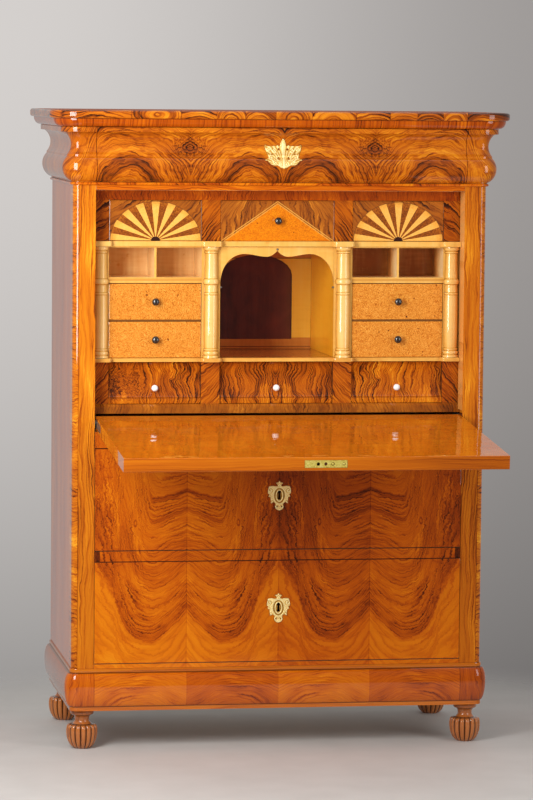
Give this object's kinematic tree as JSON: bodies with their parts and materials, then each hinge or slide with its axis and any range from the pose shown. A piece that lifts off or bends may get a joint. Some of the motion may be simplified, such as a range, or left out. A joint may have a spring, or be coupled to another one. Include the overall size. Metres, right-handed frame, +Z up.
{
  "type": "fall front secretaire",
  "caption": "Veneered fall front secretaire on turned feet, with a gallery of small drawers, pigeonholes and a niche behind the flap, and large drawers below.",
  "frame": {"origin": "on the floor, under the middle of the bounding box with the flap open", "axes": "+Z up, +X to the right seen from the front, +Y to the back"},
  "size_m": [1.091, 1.0014, 1.5],
  "materials": {
    "walnut_veneer": "french polished figured walnut veneer",
    "walnut_burl": "french polished burl veneer",
    "maple": "french polished maple",
    "dark_mahogany": "polished dark mahogany",
    "pine": "plain waxed pine",
    "turned_walnut": "polished turned walnut",
    "brass": "worn cast brass",
    "iron": "forged iron",
    "ivory": "polished pale bone",
    "dark_horn": "polished dark horn"
  },
  "bodies": {
    "carcase": {"side_left": "walnut_veneer", "side_right": "walnut_veneer", "stile_left": "walnut_veneer", "stile_right": "walnut_veneer", "back_panel": "pine", "bottom_board": "pine", "middle_rail": "walnut_veneer", "writing_rail": "walnut_veneer", "astragal_board": "walnut_veneer", "cornice": "walnut_veneer", "frieze_return_left": "walnut_veneer", "frieze_return_right": "walnut_veneer", "plinth": "walnut_veneer", "foot_front_left": "turned_walnut", "foot_front_right": "turned_walnut", "foot_back_left": "turned_walnut", "foot_back_right": "turned_walnut", "gallery_base": "walnut_veneer", "gallery_waist_board": "maple", "gallery_bay_left": "maple", "gallery_bay_right": "maple", "gallery_cornice_board": "maple", "gallery_attic": "walnut_veneer", "niche_arch": "maple", "niche_back": "dark_mahogany", "column_outer_left": "maple", "column_inner_left": "maple", "column_inner_right": "maple", "column_outer_right": "maple"},
    "flap": {"flap_panel": "walnut_veneer", "flap_lock_plate": "brass", "flap_lever_left": "iron", "flap_lever_right": "iron", "escutcheon_flap": "brass"},
    "frieze_drawer_body": {"frieze_drawer": "walnut_veneer", "escutcheon_frieze": "brass"},
    "upper_drawer": {"upper_drawer_front": "walnut_veneer", "upper_drawer_box": "pine", "escutcheon_upper": "brass"},
    "lower_drawer": {"lower_drawer_front": "walnut_veneer", "lower_drawer_box": "pine", "escutcheon_lower": "brass"},
    "fan_drawer_left_body": {"fan_drawer_left": "walnut_veneer"},
    "fan_drawer_right_body": {"fan_drawer_right": "walnut_veneer"},
    "pediment_drawer_body": {"pediment_drawer": "walnut_veneer", "pediment_drawer_knob": "dark_horn"},
    "burl_drawer_left_upper_body": {"burl_drawer_left_upper": "walnut_burl", "burl_drawer_left_upper_knob": "dark_horn"},
    "burl_drawer_left_lower_body": {"burl_drawer_left_lower": "walnut_burl", "burl_drawer_left_lower_knob": "dark_horn"},
    "burl_drawer_right_upper_body": {"burl_drawer_right_upper": "walnut_burl", "burl_drawer_right_upper_knob": "dark_horn"},
    "burl_drawer_right_lower_body": {"burl_drawer_right_lower": "walnut_burl", "burl_drawer_right_lower_knob": "dark_horn"},
    "base_drawer_left_body": {"base_drawer_left": "walnut_veneer", "base_drawer_left_knob": "ivory"},
    "base_drawer_centre_body": {"base_drawer_centre": "walnut_veneer", "base_drawer_centre_knob": "ivory"},
    "base_drawer_right_body": {"base_drawer_right": "walnut_veneer", "base_drawer_right_knob": "ivory"}
  },
  "joints": [
    {"name": "flap_fall", "type": "hinge", "parent": "carcase", "child": "flap", "pos_m": [0, 0.0412, 0.7705], "axis": [1, 0, 0], "range_deg": [-94.8, 0]},
    {"name": "frieze_drawer_slide", "type": "slide", "parent": "carcase", "child": "frieze_drawer_body", "axis": [0, -1, 0], "range_m": [0, 0.33]},
    {"name": "upper_drawer_slide", "type": "slide", "parent": "carcase", "child": "upper_drawer", "axis": [0, -1, 0], "range_m": [0, 0.34]},
    {"name": "lower_drawer_slide", "type": "slide", "parent": "carcase", "child": "lower_drawer", "axis": [0, -1, 0], "range_m": [0, 0.34]},
    {"name": "fan_drawer_left_slide", "type": "slide", "parent": "carcase", "child": "fan_drawer_left_body", "axis": [0, -1, 0], "range_m": [0, 0.27]},
    {"name": "fan_drawer_right_slide", "type": "slide", "parent": "carcase", "child": "fan_drawer_right_body", "axis": [0, -1, 0], "range_m": [0, 0.27]},
    {"name": "pediment_drawer_slide", "type": "slide", "parent": "carcase", "child": "pediment_drawer_body", "axis": [0, -1, 0], "range_m": [0, 0.27]},
    {"name": "burl_drawer_left_upper_slide", "type": "slide", "parent": "carcase", "child": "burl_drawer_left_upper_body", "axis": [0, -1, 0], "range_m": [0, 0.27]},
    {"name": "burl_drawer_left_lower_slide", "type": "slide", "parent": "carcase", "child": "burl_drawer_left_lower_body", "axis": [0, -1, 0], "range_m": [0, 0.27]},
    {"name": "burl_drawer_right_upper_slide", "type": "slide", "parent": "carcase", "child": "burl_drawer_right_upper_body", "axis": [0, -1, 0], "range_m": [0, 0.27]},
    {"name": "burl_drawer_right_lower_slide", "type": "slide", "parent": "carcase", "child": "burl_drawer_right_lower_body", "axis": [0, -1, 0], "range_m": [0, 0.27]},
    {"name": "base_drawer_left_slide", "type": "slide", "parent": "carcase", "child": "base_drawer_left_body", "axis": [0, -1, 0], "range_m": [0, 0.27]},
    {"name": "base_drawer_centre_slide", "type": "slide", "parent": "carcase", "child": "base_drawer_centre_body", "axis": [0, -1, 0], "range_m": [0, 0.27]},
    {"name": "base_drawer_right_slide", "type": "slide", "parent": "carcase", "child": "base_drawer_right_body", "axis": [0, -1, 0], "range_m": [0, 0.27]}
  ]
}
